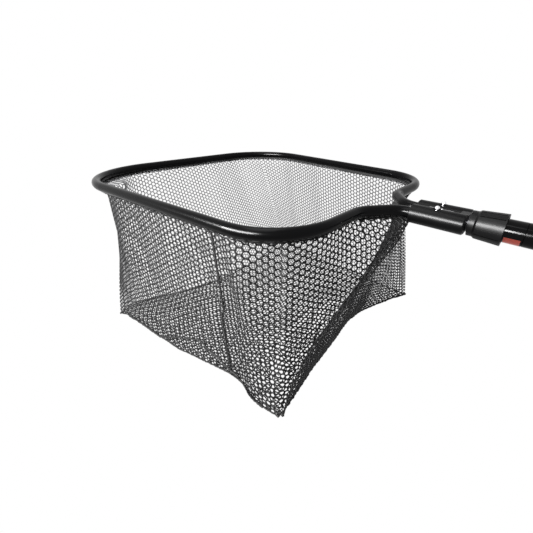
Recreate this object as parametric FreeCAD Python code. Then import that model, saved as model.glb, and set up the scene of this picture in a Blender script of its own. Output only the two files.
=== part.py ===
import FreeCAD, Part
import os
from math import cos, radians, sin, sqrt, tan

# Landing net with a telescoping handle, in millimetres.
# X runs along the handle from the hoop towards the butt. Z is up, and the bag hangs towards -Z.
# The origin is on the handle's axis, at the middle of the grip.

V = FreeCAD.Vector
X_AXIS = V(1, 0, 0)
Y_AXIS = V(0, 1, 0)
Z_AXIS = V(0, 0, 1)

# ---------------------------------------------------------------- driving dimensions
# Outer handle
grip_length = 260.0
grip_r = 17.0
grip_end_chamfer = 3.0
handle_r = 13.8
handle_wall = 1.5
mouth_chamfer = 0.6
bare_tube_length = 305.0
grip_ring_length = 7.0
grip_ring_r = 17.6
cap_length = 34.0
cap_r = 16.6
cap_nose_fillet = 5.0
cap_spigot_length = 26.0
lug_length = 22.0
lug_thickness = 16.0
lanyard_hole_r = 3.0
lanyard_hole_inset = 10.0

# Telescoping inner tube
inner_r = 11.0
inner_wall = 1.5
inner_length = 540.0
bush_length = 30.0
plug_length = 14.0
plug_flange = 2.0

# Twist lock, listed from the handle's mouth towards the hoop
sleeve_land = 18.5
sleeve_spigot_length = 25.0
sleeve_neck_length = 20.5
sleeve_cone_length = 9.0
sleeve_cone_rise = 1.5
collar_length = 29.5
collar_rear_r = 19.0
collar_front_r = 17.4
collar_skirt_r = 16.0
collar_skirt_depth = 6.0
collar_lip_length = 6.0
collar_lip_r = 15.6
collar_chamfer = 2.4
collar_groove_count = 14
collar_groove_width = 1.5
collar_groove_depth = 1.1
collar_groove_front_margin = 3.0
collar_groove_rear_margin = 1.6
collet_flange_r = 13.1
collet_slit = 2.0
seal_length = 2.4
seal_groove_r = 13.0
collar_wall_front = 2.0
mark_from_deg = 15.0
mark_sweep_deg = 150.0
mark_depth = 0.5
mark_margin = 1.5

# Yoke
yoke_length = 66.0
lobe_r = 12.6
leg_offset = 13.25
leg_bore_depth = 56.0
web_half_height = 5.5
yoke_block_length = 10.0
yoke_block_half_height = 11.0
yoke_chamfer = 1.4
yoke_gap = 2.0
spigot_length = 40.0
pin_r = 2.0
pin_first = 12.0
pin_pitch = 16.0
strip_start = 18.0
strip_length = 29.0
strip_width = 1.8
strip_height = 3.8

# Snap buttons
button_inset = 31.0
button_r = 3.2
button_flange_r = 3.6
button_flange_thickness = 1.0
button_stand = 3.8
button_recess_r = 5.2
button_recess_depth = 1.4
spring_thickness = 0.5
spring_width = 4.4
spring_foot = 17.0
spring_bend = 13.0
spring_rest = 3.5

# Hoop
tube_r = 7.95
hoop_bore_r = 5.2
hoop_bore_rise = 1.2
hoop_length = 544.5
leading_half_width = 265.75
leading_corner_r = 136.0
back_half_width = 203.0
back_corner_r = 93.0
neck_half_width = 57.0
neck_corner_r = 37.0
neck_length = 34.5
leg_corner_r = 32.0
yoke_to_neck = 17.5
leg_inserted = 55.0

# Bag
groove_r = 1.35
groove_drop = 6.0
groove_slot = 1.6
hem_thickness = 1.0
hem_depth = 7.0
bag_wall = 1.6
bag_depth = 306.0
bag_top = -10.0
bag_neck_end_r = 6.0
floor_inset_leading = 72.0
floor_inset_back = 22.0
floor_inset_side = 5.0
floor_corner_r = 48.0
floor_neck_bulge = 8.0

# Clearances
running_gap = 0.1
press_gap = 0.03
soft_gap = 0.3
seat_gap = 0.2

# ---------------------------------------------------------------- stations along the handle
mouth_x = -(grip_length / 2 + bare_tube_length)
collar_rear_x = mouth_x - sleeve_land
collar_front_x = collar_rear_x - collar_length
lip_front_x = collar_front_x - collar_lip_length
yoke_rear_x = lip_front_x - yoke_gap
yoke_front_x = yoke_rear_x - yoke_length
leg_end_x = yoke_front_x + leg_inserted
button_x = yoke_front_x + button_inset
merge_x = yoke_front_x - yoke_to_neck
back_x = merge_x - neck_length
leading_x = back_x - hoop_length
sleeve_front_x = collar_rear_x - sleeve_neck_length
handle_bore_r = handle_r - handle_wall
sleeve_bore_r = inner_r + running_gap
inner_end_x = yoke_rear_x + inner_length

os.makedirs("parts", exist_ok=True)


# ---------------------------------------------------------------- helpers
def save(name, shape):
    """Write one node, made of one or more solids, to its own STEP file."""
    shape.exportStep("parts/" + name + ".step")
    print(name, len(shape.Solids), round(shape.Volume, 1))


def turned(points):
    """Solid of revolution about the handle's axis, from (x, r) points."""
    wire = Part.makePolygon([V(x, 0, r) for x, r in points + points[:1]])
    return Part.Face(wire).revolve(V(0, 0, 0), X_AXIS, 360)


def bar(radius, x0, x1, y=0.0, z=0.0):
    """Round bar along X."""
    return Part.makeCylinder(radius, x1 - x0, V(x0, y, z), X_AXIS)


def box(x0, x1, y0, y1, z0, z1):
    """Block between two corners."""
    return Part.makeBox(x1 - x0, y1 - y0, z1 - z0, V(x0, y0, z0))


def rounded_path(points, radii):
    """Wire through the points, with a tangent arc of its own radius at each inner point."""
    edges = []
    start = V(*points[0])
    for before, corner, after, radius in zip(points, points[1:], points[2:], radii):
        corner = V(*corner)
        back = (V(*before) - corner).normalize()
        ahead = (V(*after) - corner).normalize()
        half = back.getAngle(ahead) / 2
        reach = radius / tan(half)
        middle = corner + (back + ahead).normalize() * (radius / sin(half) - radius)
        first = corner + back * reach
        last = corner + ahead * reach
        edges.append(Part.makeLine(start, first))
        edges.append(Part.Arc(first, middle, last).toShape())
        start = last
    edges.append(Part.makeLine(start, V(*points[-1])))
    return Part.Wire(edges)


def sweep(path, profile):
    """Solid of a closed profile carried along a flat path."""
    return path.makePipeShell([profile], True, False)


# ---------------------------------------------------------------- handle
def outer_tube():
    rear_x = grip_length / 2
    return turned([
        (mouth_x, handle_bore_r), (mouth_x, handle_r - mouth_chamfer), (mouth_x + mouth_chamfer, handle_r),
        (rear_x, handle_r), (rear_x, handle_bore_r)])


def grip():
    front = -grip_length / 2
    rear = grip_length / 2
    bore = handle_r + press_gap
    return turned([
        (front, bore), (front, grip_r - grip_end_chamfer / 2), (front + grip_end_chamfer, grip_r),
        (rear - grip_end_chamfer, grip_r), (rear, grip_r - grip_end_chamfer / 2), (rear, bore)])


def grip_ring():
    rear = -grip_length / 2
    front = rear - grip_ring_length
    bore = handle_r + press_gap
    crown = (handle_r + grip_ring_r) / 2
    return turned([
        (front, bore), (front, crown), (front + grip_ring_length / 2, grip_ring_r),
        (rear, grip_ring_r), (rear, bore)])


def butt_cap():
    front = grip_length / 2
    rear = front + cap_length
    spigot_r = handle_bore_r - press_gap
    cap = bar(cap_r, front, rear)
    nose = [edge for edge in cap.Edges if abs(edge.CenterOfMass.x - rear) < 1e-6]
    cap = cap.makeFillet(cap_nose_fillet, nose)
    for side in (-1, 1):
        near = side * lug_thickness / 2
        far = side * (cap_r + 1)
        flat = box(rear - lug_length, rear + 1, min(near, far), max(near, far), -cap_r - 1, cap_r + 1)
        cap = cap.cut(flat)
    cap = cap.fuse(bar(spigot_r, front - cap_spigot_length, front))
    hole_x = rear - lanyard_hole_inset
    hole = Part.makeCylinder(lanyard_hole_r, lug_thickness + 2, V(hole_x, -lug_thickness / 2 - 1, 0), Y_AXIS)
    return cap.cut(hole).removeSplitter()


# ---------------------------------------------------------------- inner tube
def inner_tube():
    tube = bar(inner_r, yoke_rear_x, inner_end_x)
    tube = tube.cut(bar(inner_r - inner_wall, yoke_rear_x, inner_end_x))
    return tube.cut(yoke_pins(running_gap / 2))


def inner_bush():
    front = inner_end_x - bush_length
    bush = bar(handle_bore_r - running_gap, front, inner_end_x)
    return bush.cut(bar(inner_r + press_gap, front, inner_end_x))


def inner_plug():
    stem = bar(inner_r - inner_wall - press_gap, inner_end_x - plug_length, inner_end_x)
    return stem.fuse(bar(inner_r, inner_end_x, inner_end_x + plug_flange)).removeSplitter()


# ---------------------------------------------------------------- twist lock
def mark_sector(r0, r1, x0, x1, grow):
    """Part of a ring on the lower near side, between two radii and two stations."""
    ring = bar(r1, x0, x1).cut(bar(r0, x0, x1))
    reach = 3 * r1
    first = radians(180 + mark_from_deg - grow)
    last = radians(180 + mark_from_deg + mark_sweep_deg + grow)
    corners = [V(x0, 0, 0)]
    for angle in (first, (first + last) / 2, last):
        corners.append(V(x0, reach * cos(angle), reach * sin(angle)))
    wedge = Part.Face(Part.makePolygon(corners + corners[:1])).extrude(V(x1 - x0, 0, 0))
    return ring.common(wedge)


def lock_mark():
    x0 = collar_rear_x + mark_margin
    x1 = mouth_x - mark_margin
    return mark_sector(handle_r - mark_depth, handle_r, x0, x1, 0)


def lock_sleeve():
    spigot_end = mouth_x + sleeve_spigot_length
    spigot_r = handle_bore_r - press_gap
    cone_x = sleeve_front_x + sleeve_cone_length
    sleeve = turned([
        (spigot_end, sleeve_bore_r), (spigot_end, spigot_r), (mouth_x, spigot_r), (mouth_x, handle_r),
        (sleeve_front_x, handle_r), (sleeve_front_x, sleeve_bore_r + sleeve_cone_rise),
        (cone_x, sleeve_bore_r)])
    x0 = collar_rear_x + mark_margin
    x1 = mouth_x - mark_margin
    recess = mark_sector(handle_r - mark_depth - press_gap, handle_r + 1, x0 - press_gap, x1 + press_gap, 0.2)
    return sleeve.cut(recess)


def collet():
    front = lip_front_x + collar_wall_front + seal_length + soft_gap
    nose = sleeve_front_x + sleeve_cone_length
    bore = inner_r + running_gap / 2
    cone_tip = sleeve_bore_r - seat_gap / 2 + sleeve_cone_rise * seat_gap
    ring = turned([
        (front, bore), (front, collet_flange_r), (sleeve_front_x, collet_flange_r),
        (sleeve_front_x, sleeve_bore_r + sleeve_cone_rise - seat_gap), (nose - 1.5, cone_tip),
        (nose - 1.5, bore)])
    slit = box(front - 1, nose + 1, -collet_slit / 2, collet_slit / 2, 0, collet_flange_r + 1)
    return ring.cut(slit)


def wiper_seal():
    x0 = lip_front_x + collar_wall_front + press_gap
    x1 = x0 + seal_length - 2 * press_gap
    outer = seal_groove_r - press_gap
    inner = inner_r + soft_gap
    middle = (x0 + x1) / 2
    return turned([(x0, inner + 0.5), (x0, outer), (x1, outer), (x1, inner + 0.5), (middle, inner)])


def lock_collar():
    seal_x = lip_front_x + collar_wall_front
    chamber_x = seal_x + seal_length
    thread_r = handle_r + running_gap
    skirt_x = collar_rear_x - collar_skirt_depth
    lip_bore = inner_r + 2 * soft_gap
    body = turned([
        (lip_front_x, lip_bore), (lip_front_x, collar_lip_r), (collar_front_x, collar_lip_r),
        (collar_front_x + collar_chamfer, collar_front_r), (collar_rear_x, collar_rear_r),
        (collar_rear_x, collar_skirt_r), (skirt_x, collar_skirt_r), (skirt_x, thread_r),
        (chamber_x, thread_r), (chamber_x, seal_groove_r), (seal_x, seal_groove_r), (seal_x, lip_bore)])
    x0 = collar_front_x + collar_groove_front_margin
    x1 = collar_rear_x - collar_groove_rear_margin
    slope = (collar_rear_r - collar_front_r) / (collar_rear_x - collar_front_x - collar_chamfer)
    bottom_0 = collar_front_r + slope * (x0 - collar_front_x - collar_chamfer) - collar_groove_depth
    bottom_1 = collar_front_r + slope * (x1 - collar_front_x - collar_chamfer) - collar_groove_depth
    top = collar_rear_r + 1
    side = Part.Face(Part.makePolygon([
        V(x0, 0, bottom_0), V(x1, 0, bottom_1), V(x1, 0, top), V(x0, 0, top), V(x0, 0, bottom_0)]))
    side.translate(V(0, -collar_groove_width / 2, 0))
    groove = side.extrude(V(0, collar_groove_width, 0))
    for index in range(collar_groove_count):
        cutter = groove.copy()
        cutter.rotate(V(0, 0, 0), X_AXIS, (index + 0.5) * 360.0 / collar_groove_count)
        body = body.cut(cutter)
    return body


# ---------------------------------------------------------------- yoke
def yoke_pins(grow=0.0):
    """Flush cross pins that hold the yoke's spigot in the inner tube."""
    half = sqrt(inner_r ** 2 - pin_r ** 2) - press_gap
    pins = []
    for index in range(2):
        x = yoke_rear_x + pin_first + index * pin_pitch
        reach = half + (1 if grow else 0)
        pins.append(Part.makeCylinder(pin_r + grow, 2 * reach, V(x, 0, -reach), Z_AXIS))
    return Part.makeCompound(pins)


def yoke_body():
    body = None
    for side in (-1, 1):
        lobe = bar(lobe_r, yoke_front_x, yoke_rear_x, side * leg_offset)
        rims = [edge for edge in lobe.Edges if len(edge.Vertexes) == 1]
        lobe = lobe.makeChamfer(yoke_chamfer, rims)
        body = lobe if body is None else body.fuse(lobe)
    web_x0 = yoke_front_x + yoke_chamfer
    web_x1 = yoke_rear_x - yoke_chamfer
    body = body.fuse(box(web_x0, web_x1, -leg_offset, leg_offset, -web_half_height, web_half_height))
    block_x0 = yoke_rear_x - yoke_block_length
    body = body.fuse(box(block_x0, yoke_rear_x, -leg_offset, leg_offset,
                         -yoke_block_half_height, yoke_block_half_height))
    body = body.fuse(bar(inner_r - inner_wall - press_gap, yoke_rear_x - 1, yoke_rear_x + spigot_length))
    for side in (-1, 1):
        y = side * leg_offset
        bore_end = yoke_front_x + leg_bore_depth
        body = body.cut(bar(tube_r + running_gap, yoke_front_x - 1, bore_end, y))
        hole = Part.makeCylinder(button_r + running_gap, lobe_r + 1, V(button_x, y, 0), Z_AXIS)
        recess = Part.makeCylinder(button_recess_r, lobe_r, V(button_x, y, lobe_r - button_recess_depth), Z_AXIS)
        body = body.cut(hole).cut(recess)
    return body.cut(yoke_pins(running_gap / 2)).removeSplitter()


def valley_strip():
    x0 = yoke_front_x + strip_start
    return box(x0, x0 + strip_length, -strip_width / 2, strip_width / 2,
               web_half_height, web_half_height + strip_height)


def snap_button(side):
    y = side * leg_offset
    flange_top = spring_rest + button_flange_thickness
    top = lobe_r + button_stand
    stem_top = top - button_r
    flange = Part.makeCylinder(button_flange_r, button_flange_thickness,
                               V(button_x, y, spring_rest), Z_AXIS)
    stem = Part.makeCylinder(button_r, stem_top - flange_top, V(button_x, y, flange_top), Z_AXIS)
    dome = Part.makeSphere(button_r, V(button_x, y, stem_top), Z_AXIS, 0, 90, 360)
    return flange.fuse(stem).fuse(dome).removeSplitter()


def button_spring(side):
    """V leaf inside the hoop leg: a flat foot, a bend, and an arm that rises to the button."""
    y = side * leg_offset - spring_width / 2
    foot_z = hoop_bore_rise - sqrt(hoop_bore_r ** 2 - (spring_width / 2) ** 2) + running_gap
    rest_z = spring_rest - running_gap
    t = spring_thickness
    bend_x = button_x + spring_bend
    foot_x = button_x - spring_foot
    tip_x = button_x - button_flange_r
    lip_x = button_x + button_flange_r
    middle_z = (foot_z + rest_z - t) / 2
    outline = [
        (foot_x, foot_z), (bend_x, foot_z), (bend_x + 2 * t, foot_z + 2 * t), (bend_x + t, middle_z),
        (lip_x, rest_z), (tip_x, rest_z), (tip_x, rest_z - t), (lip_x - t, rest_z - t),
        (bend_x - t, middle_z - t), (bend_x - t, foot_z + t), (foot_x, foot_z + t)]
    face = Part.Face(Part.makePolygon([V(x, y, z) for x, z in outline + outline[:1]]))
    return face.extrude(V(0, spring_width, 0))


# ---------------------------------------------------------------- hoop
def hoop_points():
    """Corners of the hoop's centre line, from one leg's end to the other's."""
    half = [
        (leg_end_x, leg_offset), (merge_x, leg_offset), (back_x, neck_half_width),
        (back_x, back_half_width), (leading_x, leading_half_width)]
    near = [(x, -y, 0.0) for x, y in half]
    far = [(x, y, 0.0) for x, y in reversed(half)]
    return near + far


hoop_radii = [leg_corner_r, neck_corner_r, back_corner_r, leading_corner_r]
hoop_path = rounded_path(hoop_points(), hoop_radii + hoop_radii[::-1])


def leg_frame(points):
    """Place (across, up) profile points at the start of the hoop's path."""
    return [V(leg_end_x, -leg_offset + across, up) for across, up in points]


def groove_outline(radius, slot, bottom):
    """Keyhole: a round pocket with a parallel slot that runs down to the stated height."""
    half = slot / 2
    lift = sqrt(radius ** 2 - half ** 2)
    left, right, top = leg_frame([(-half, -groove_drop - lift), (half, -groove_drop - lift),
                                  (0, -groove_drop + radius)])
    low_left, low_right = leg_frame([(-half, bottom), (half, bottom)])
    return Part.Wire([
        Part.Arc(left, top, right).toShape(), Part.makeLine(right, low_right),
        Part.makeLine(low_right, low_left), Part.makeLine(low_left, left)])


def hoop_tube():
    centre = V(leg_end_x, -leg_offset, 0)
    rim = Part.Wire(Part.makeCircle(tube_r, centre, X_AXIS))
    bore = Part.Wire(Part.makeCircle(hoop_bore_r, centre + V(0, 0, hoop_bore_rise), X_AXIS))
    tube = sweep(hoop_path, rim)
    tube = tube.cut(sweep(hoop_path, bore))
    tube = tube.cut(sweep(hoop_path, groove_outline(groove_r, groove_slot, -tube_r - 1)))
    for side in (-1, 1):
        hole = Part.makeCylinder(button_r + running_gap, tube_r + 1, V(button_x, side * leg_offset, 0), Z_AXIS)
        tube = tube.cut(hole)
    return tube


def hem_wires():
    """Path of the hem, which stops short of the yoke at both legs."""
    points = hoop_points()
    start = yoke_front_x - soft_gap
    points[0] = (start, -leg_offset, 0.0)
    points[-1] = (start, leg_offset, 0.0)
    return rounded_path(points, hoop_radii + hoop_radii[::-1])


def at_hem_start(wire):
    """Move a profile from the leg's end to the start of the hem's path."""
    moved = wire.copy()
    moved.translate(V(yoke_front_x - soft_gap - leg_end_x, 0, 0))
    return moved


def hem_bead():
    radius = groove_r - running_gap
    outline = groove_outline(radius, hem_thickness, -tube_r - seat_gap)
    return sweep(hem_wires(), at_hem_start(outline))


def hem_band():
    half = hem_thickness / 2
    top = -tube_r - seat_gap
    corners = leg_frame([(-half, top), (half, top), (half, top - hem_depth), (-half, top - hem_depth)])
    outline = Part.makePolygon(corners + corners[:1])
    return sweep(hem_wires(), at_hem_start(outline))


# ---------------------------------------------------------------- bag
def inset_polygon(points, distance):
    """Clockwise closed polygon with every side moved in by the distance."""
    moved = []
    for index, corner in enumerate(points):
        before = (corner - points[index - 1]).normalize().cross(Z_AXIS)
        after = (points[(index + 1) % len(points)] - corner).normalize().cross(Z_AXIS)
        moved.append(corner + (before + after) * (distance / (1 + before.dot(after))))
    return moved


def bag_outline(level, inset):
    """Closed outline of the bag at a height between its floor and its rim, moved in by inset."""
    share = (bag_top - level) / (bag_top + bag_depth)
    floor_back = back_x - floor_inset_back
    rim = [(merge_x, leg_offset), (back_x, neck_half_width), (back_x, back_half_width),
           (leading_x, leading_half_width)]
    floor = [(floor_back + floor_neck_bulge, leg_offset), (floor_back, neck_half_width),
             (floor_back, back_half_width - floor_inset_side),
             (leading_x + floor_inset_leading, leading_half_width - floor_inset_side)]
    near = []
    for (rim_x, rim_y), (floor_x, floor_y) in zip(rim, floor):
        near.append(V(rim_x + share * (floor_x - rim_x), -rim_y - share * (floor_y - rim_y), level))
    far = [V(corner.x, -corner.y, level) for corner in reversed(near)]
    distance = hem_thickness / 2 + soft_gap + inset
    corners = inset_polygon(near + far, distance)
    back_r = back_corner_r + share * (floor_corner_r - back_corner_r) - distance
    leading_r = leading_corner_r + share * (floor_corner_r - leading_corner_r) - distance
    radii = [bag_neck_end_r - inset, neck_corner_r + distance, back_r, leading_r]
    middle = (corners[0] + corners[-1]) * 0.5
    return rounded_path([middle] + corners + [middle], radii + radii[::-1])


def bag_shell():
    """Four walls in one piece, open at the top, standing on the floor panel."""
    low = -bag_depth + bag_wall
    outer = Part.makeLoft([bag_outline(low, 0), bag_outline(bag_top, 0)], True, True)
    inner = Part.makeLoft([bag_outline(low, bag_wall), bag_outline(bag_top, bag_wall)], True, True)
    return outer.cut(inner)


def bag_walls():
    """The shell cut into four walls at upright planes through its corners."""
    shell = bag_shell()
    reach = 3.0
    centre = ((leading_x + back_x) / 2, 0.0)
    corners = [(back_x, -back_half_width), (leading_x, -leading_half_width),
               (leading_x, leading_half_width), (back_x, back_half_width)]
    names = ["bag_near_wall", "bag_leading_wall", "bag_far_wall", "bag_handle_wall"]
    walls = {}
    for index, name in enumerate(names):
        first = corners[index]
        last = corners[(index + 1) % len(corners)]
        outline = [V(centre[0], centre[1], -bag_depth)]
        for x, y in (first, last):
            outline.append(V(centre[0] + reach * (x - centre[0]), reach * y, -bag_depth))
        wedge = Part.Face(Part.makePolygon(outline + outline[:1])).extrude(V(0, 0, bag_depth))
        walls[name] = shell.common(wedge)
    return walls


def bag_floor():
    return Part.Face(bag_outline(-bag_depth + bag_wall, 0)).extrude(V(0, 0, -bag_wall))


# ---------------------------------------------------------------- write every node
save("outer_tube", outer_tube())
save("grip", grip())
save("grip_ring", grip_ring())
save("butt_cap", butt_cap())
save("inner_tube", inner_tube())
save("inner_bush", inner_bush())
save("inner_plug", inner_plug())
save("lock_sleeve", lock_sleeve())
save("lock_mark", lock_mark())
save("collet", collet())
save("lock_collar", lock_collar())
save("wiper_seal", wiper_seal())
save("yoke_body", yoke_body())
save("yoke_pins", yoke_pins())
save("valley_strip", valley_strip())
for side_name, side_sign in (("near", -1), ("far", 1)):
    save(side_name + "_snap_button", snap_button(side_sign))
    save(side_name + "_button_spring", button_spring(side_sign))
save("hoop_tube", hoop_tube())
save("hem_bead", hem_bead())
save("hem_band", hem_band())
for wall_name, wall in bag_walls().items():
    save(wall_name, wall)
save("bag_floor", bag_floor())
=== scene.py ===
"""Dresses the landing net's solids and sets the stage, laid out as an add-on that is never installed."""
import math

import bmesh
import bpy
import numpy as np
from bpy.props import FloatProperty, FloatVectorProperty, IntProperty, PointerProperty
from mathutils import Matrix, Vector, noise


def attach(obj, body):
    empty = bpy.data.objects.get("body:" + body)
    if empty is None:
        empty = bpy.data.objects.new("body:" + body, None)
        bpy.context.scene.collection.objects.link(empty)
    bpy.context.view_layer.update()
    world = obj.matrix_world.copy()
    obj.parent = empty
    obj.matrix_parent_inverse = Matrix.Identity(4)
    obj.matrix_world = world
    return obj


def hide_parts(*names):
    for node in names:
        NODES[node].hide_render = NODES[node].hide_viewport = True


bl_info = {
    "name": "Landing Net",
    "version": (1, 0, 0),
    "blender": (4, 5, 0),
    "location": "View3D > Sidebar > Landing Net",
    "description": "Builds the mesh bag, finishes and stage round the landing net's solids",
    "category": "Object",
}

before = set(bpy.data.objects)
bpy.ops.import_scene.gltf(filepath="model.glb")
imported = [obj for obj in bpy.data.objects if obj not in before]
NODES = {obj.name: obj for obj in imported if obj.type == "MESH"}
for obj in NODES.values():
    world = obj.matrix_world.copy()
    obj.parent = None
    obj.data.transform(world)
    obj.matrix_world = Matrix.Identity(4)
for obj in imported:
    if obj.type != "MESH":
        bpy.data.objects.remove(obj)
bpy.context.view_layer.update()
MM = 0.001

# Corners of the hoop's centre line on its near side, as (x, y, radius) in millimetres
HOOP_CORNERS = [
    (-558.0, -13.25, 0.0),
    (-574.5, -13.25, 32.0),
    (-609.0, -57.0, 37.0),
    (-609.0, -203.0, 93.0),
    (-1153.5, -265.75, 136.0),
]

# Lower corners of the bag, in millimetres
NEAR_EAR = (-632.0, -196.0, -301.0)
LEADING_EAR = (-1076.0, -272.0, -302.0)
FAR_LEADING_EAR = (-1078.0, 262.0, -298.0)
FAR_EAR = (-605.0, 204.0, -272.0)

# Lower edge of each wall between those corners
LOWER_EDGES = {
    "near": [
        NEAR_EAR, (-656, -200, -304), (-682, -205, -297), (-700, -208, -274), (-729, -213, -270),
        (-799, -225, -281), (-864, -237, -292), (-917, -246, -291), (-981, -257, -286), (-1040, -266, -290),
        LEADING_EAR],
    "leading": [
        LEADING_EAR, (-1078, -240, -296), (-1068, -188, -300), (-1034, -93, -301), (-1028, 0, -305),
        (-1040, 120, -303), FAR_LEADING_EAR],
    "far": [FAR_LEADING_EAR, (-980, 246, -296), (-800, 224, -288), (-680, 212, -278), FAR_EAR],
    "handle": [
        FAR_EAR, (-622, 163, -271), (-641, 124, -276), (-655, 75, -275), (-660, 37, -280), (-655, -29, -294),
        (-645, -110, -296), (-634, -178, -301), NEAR_EAR],
}

# Sewn lines across the near wall as (x, z), and the fold inside the near corner as (x, y, z)
UPRIGHT_SEAM_X = -727.0
ARCH_SEAM = [(-660, -304), (-683, -297), (-701, -269), (-755, -245), (-794, -231), (-855, -258), (-916, -290),
             (-1030, -290)]
INNER_FOLD = [
    (-622.0, -114.0, -160.0),
    (-625.0, -129.0, -210.0),
    (-627.0, -142.0, -249.0),
    (-630.0, -165.0, -276.0),
]

# Level at which the mesh leaves the hem, in millimetres
HEM_LEVEL = -9.0

# How far each wall's top is drawn in from the hoop, in millimetres, at shares of the wall's length
TUCK_SHARES = [0, 0.15, 0.5, 0.82, 1]
TUCKS = {
    "near": [14, 8, 6, 10, 38],
    "leading": [38, 12, 8, 10, 34],
    "far": [34, 10, 7, 8, 14],
}

# Folds in each wall as (start, end, height in millimetres, width), placed by shares of its length and drop
CREASES = {
    "near": [
        ((0.62, 0.0), (0.60, 0.85), -3.0, 0.035),
        ((0.30, 0.05), (0.24, 0.55), -4.0, 0.03),
        ((0.88, 0.0), (0.80, 0.75), -3.5, 0.05),
        ((0.74, 0.0), (0.73, 0.5), 2.5, 0.06),
        ((0.14, 0.0), (0.06, 0.6), 9.0, 0.045),
        ((0.45, 0.0), (0.43, 0.7), 3.0, 0.07),
    ],
    "leading": [
        ((0.3, 0.0), (0.32, 0.9), -6.0, 0.06),
        ((0.62, 0.0), (0.60, 0.9), -6.0, 0.06),
        ((0.8, 0.0), (0.82, 0.9), 5.0, 0.06),
    ],
    "far": [
        ((0.2, 0.0), (0.22, 0.9), -6.0, 0.06),
        ((0.45, 0.0), (0.46, 0.9), -6.0, 0.06),
        ((0.72, 0.0), (0.7, 0.9), 6.0, 0.06),
    ],
}

# Strand's thickness at the rim of a hole, as a share of its full thickness
RIM_THINNING = 0.6


# ---------------------------------------------------------------- settings
class LandingNetBagSettings(bpy.types.PropertyGroup):
    pitch: FloatProperty(name="Mesh pitch", description="Distance between the centres of two holes",
                         default=0.0090, unit="LENGTH")
    strand: FloatProperty(name="Strand width", description="Width of the rubber between two holes",
                          default=0.0017, unit="LENGTH")
    thickness: FloatProperty(name="Strand thickness", description="Thickness of the coated net",
                             default=0.0015, unit="LENGTH")
    seam_radius: FloatProperty(name="Seam radius", description="Half the thickness of a bound seam",
                               default=0.0015, unit="LENGTH")
    seed: IntProperty(name="Seed", description="Seed of the seams' lumps and the corner knots", default=4)


class LandingNetFinishSettings(bpy.types.PropertyGroup):
    coating: FloatVectorProperty(name="Net coating", description="Colour of the rubber-coated net",
                                 subtype="COLOR", size=3, default=(0.006, 0.006, 0.0065))
    enamel: FloatVectorProperty(name="Enamel", description="Colour of the hoop and the handle tube",
                                subtype="COLOR", size=3, default=(0.004, 0.004, 0.0045))
    moulding: FloatVectorProperty(name="Moulding", description="Colour of the yoke, the lock and the caps",
                                  subtype="COLOR", size=3, default=(0.005, 0.005, 0.0055))
    # Painted light: this pale grey on the black net's strands stands in for the net's sheen; the net itself
    # is black all through
    inner_face: FloatVectorProperty(name="Inner face", description="Colour of the strands' inner faces",
                                    subtype="COLOR", size=3, default=(0.34, 0.34, 0.35))


class LandingNetStageSettings(bpy.types.PropertyGroup):
    lens: FloatProperty(name="Lens", description="Focal length on a 36 mm sensor", default=18.629)
    key_power: FloatProperty(name="Key power", description="Power of the overhead softbox", default=16.0,
                             unit="POWER")
    strip_power: FloatProperty(name="Strip power", description="Power of the low strip softbox",
                               default=130.0, unit="POWER")
    sky: FloatProperty(name="Sky", description="Strength of the even light from all around", default=0.5)


# ---------------------------------------------------------------- small helpers
def plain_mesh(name, points, faces, material=None, smooth=True):
    """Mesh object at the origin from an array of points and a list of faces."""
    mesh = bpy.data.meshes.new(name)
    mesh.from_pydata([tuple(p) for p in points], [], [tuple(f) for f in faces])
    mesh.update()
    piece = bpy.data.objects.new(name, mesh)
    bpy.context.scene.collection.objects.link(piece)
    if material:
        mesh.materials.append(material)
    for face in mesh.polygons:
        face.use_smooth = smooth
    return piece


def face_outwards(piece):
    """Turn every closed shell's faces outwards."""
    shell = bmesh.new()
    shell.from_mesh(piece.data)
    bmesh.ops.recalc_face_normals(shell, faces=shell.faces)
    shell.to_mesh(piece.data)
    shell.free()


def rounded_line(corners, step):
    """Points along a polyline whose inner corners are rounded, about one step apart."""
    points = [np.array(corners[0][:2], float)]
    for before, corner, after in zip(corners, corners[1:], corners[2:]):
        here = np.array(corner[:2], float)
        back = np.array(before[:2], float) - here
        ahead = np.array(after[:2], float) - here
        back /= np.linalg.norm(back)
        ahead /= np.linalg.norm(ahead)
        half = math.acos(float(np.clip(back @ ahead, -1, 1))) / 2
        reach = corner[2] / math.tan(half)
        first = here + back * reach
        last = here + ahead * reach
        middle = here + (back + ahead) / np.linalg.norm(back + ahead) * corner[2] / math.sin(half)
        start = math.atan2(*(first - middle)[::-1])
        sweep = (math.atan2(*(last - middle)[::-1]) - start + math.pi) % (2 * math.pi) - math.pi
        count = max(4, int(abs(sweep) * corner[2] / step))
        for share in np.linspace(0, 1, count + 1):
            angle = start + share * sweep
            points.append(middle + corner[2] * np.array([math.cos(angle), math.sin(angle)]))
    points.append(np.array(corners[-1][:2], float))
    return spread_along(np.array(points), step)


def lengths(line):
    """Distance along a line at each of its points."""
    return np.concatenate([[0], np.cumsum(np.linalg.norm(np.diff(line, axis=0), axis=1))])


def spread_along(line, step):
    """The same line with evenly spaced points."""
    along = lengths(line)
    at = np.linspace(0, along[-1], max(2, int(round(along[-1] / step)) + 1))
    return np.stack([np.interp(at, along, line[:, k]) for k in range(line.shape[1])], axis=1)


def at_shares(line, shares):
    """Points at given shares of a line's length."""
    along = lengths(line)
    at = np.asarray(shares) * along[-1]
    return np.stack([np.interp(at, along, line[:, k]) for k in range(line.shape[1])], axis=1)


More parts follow.
